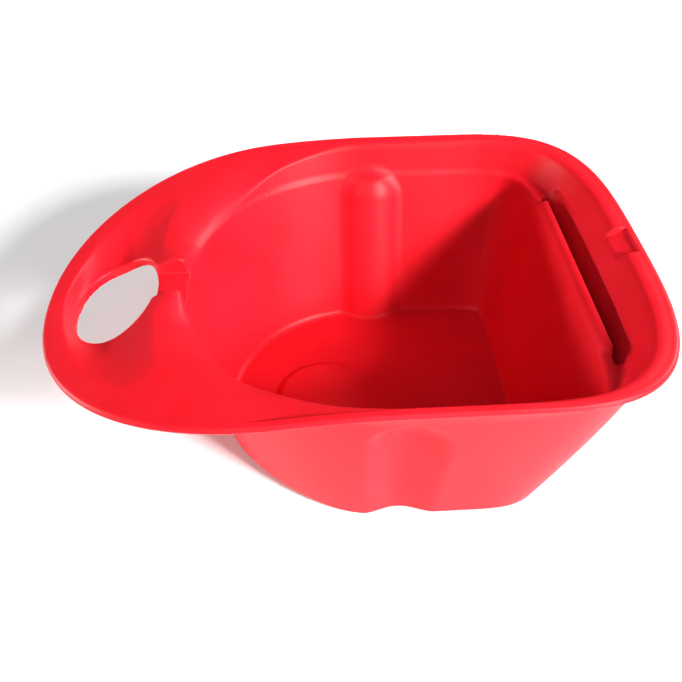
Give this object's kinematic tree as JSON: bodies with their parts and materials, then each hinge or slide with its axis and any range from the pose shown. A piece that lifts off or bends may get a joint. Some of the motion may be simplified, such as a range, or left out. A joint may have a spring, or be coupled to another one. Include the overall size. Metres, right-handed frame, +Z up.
{
  "type": "bedpan",
  "caption": "Shallow moulded bedpan with a sloping-sided basin, a splash fin at the front end and a drooping handle deck with a thumb hole",
  "frame": {"origin": "on the ground, bottom centre of the pan's overall box", "axes": "+X from the handle to the front end along the length, +Y across the width, +Z up"},
  "size_m": [0.28, 0.2134, 0.1],
  "materials": {
    "pan_plastic": "satin red moulded plastic"
  },
  "bodies": {
    "root": {"basin_floor": "pan_plastic", "floor_boss": "pan_plastic", "heel_wall": "pan_plastic", "left_side_wall": "pan_plastic", "right_side_wall": "pan_plastic", "front_wall": "pan_plastic", "left_side_rib": "pan_plastic", "right_side_rib": "pan_plastic", "splash_panel": "pan_plastic", "splash_fin": "pan_plastic", "rim_flange": "pan_plastic", "rim_lip": "pan_plastic", "handle_deck": "pan_plastic", "thumb_dish": "pan_plastic", "heel_ridge": "pan_plastic"}
  },
  "joints": []
}
